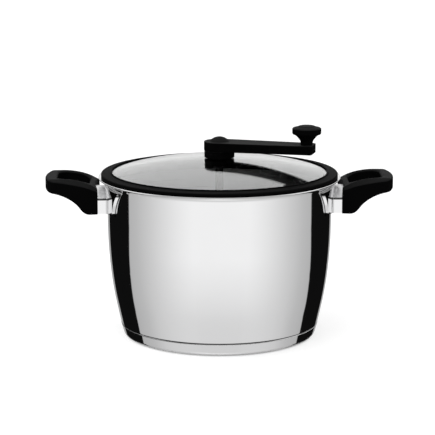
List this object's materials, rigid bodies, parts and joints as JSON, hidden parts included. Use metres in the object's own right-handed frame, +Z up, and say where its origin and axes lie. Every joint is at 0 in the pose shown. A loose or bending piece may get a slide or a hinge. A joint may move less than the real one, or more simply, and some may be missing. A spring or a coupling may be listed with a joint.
{
  "type": "popcorn pot",
  "caption": "Stainless stove-top popcorn pot with loop grips, a glass lid that lifts off and a hand crank that turns a stirrer on the pot's floor.",
  "frame": {"origin": "centre of the base's underside, on the axis of the pot and shaft", "axes": "+X through the right grip, +Z up along the pot's axis"},
  "size_m": [0.3444, 0.24, 0.2133],
  "materials": {
    "polished_steel": "mirror-polished stainless steel",
    "satin_steel": "satin stainless steel",
    "screw_steel": "bright machined stainless steel",
    "core_aluminium": "plain rolled aluminium",
    "black_plastic": "black heat-resistant moulding, satin",
    "lid_glass": "clear tempered glass",
    "rim_silicone": "black silicone, satin",
    "seal_silicone": "dark grey silicone, matt"
  },
  "bodies": {
    "pot": {"pot_shell": "polished_steel", "base_core": "core_aluminium", "base_cap": "polished_steel", "left_bracket": "polished_steel", "right_bracket": "polished_steel", "left_grip": "black_plastic", "right_grip": "black_plastic", "left_grip_screw": "screw_steel", "right_grip_screw": "screw_steel"},
    "lid": {"lid_glass": "lid_glass", "lid_ring": "rim_silicone", "upper_seal": "seal_silicone", "lower_seal": "seal_silicone", "bearing_housing": "black_plastic", "bearing_nut": "black_plastic"},
    "crank": {"crank_arm": "black_plastic", "hub_cap": "black_plastic", "shaft_screw": "screw_steel", "shaft_washer": "screw_steel", "stirrer_shaft": "satin_steel", "retaining_clip": "satin_steel", "stirrer_hub": "satin_steel", "stirrer_blades": "satin_steel", "knob_pin": "screw_steel"},
    "knob": {"crank_knob": "black_plastic", "knob_cap": "black_plastic"}
  },
  "joints": [
    {"name": "lid_lift", "type": "slide", "parent": "pot", "child": "lid", "axis": [0, 0, 1], "range_m": [0, 0.18]},
    {"name": "crank_turn", "type": "hinge", "parent": "lid", "child": "crank", "pos_m": [0, 0, 0.1853], "axis": [0, 0, 1], "continuous": true},
    {"name": "knob_turn", "type": "hinge", "parent": "crank", "child": "knob", "pos_m": [0.08468, -0.02396, 0.2], "axis": [0, 0, 1], "continuous": true}
  ]
}
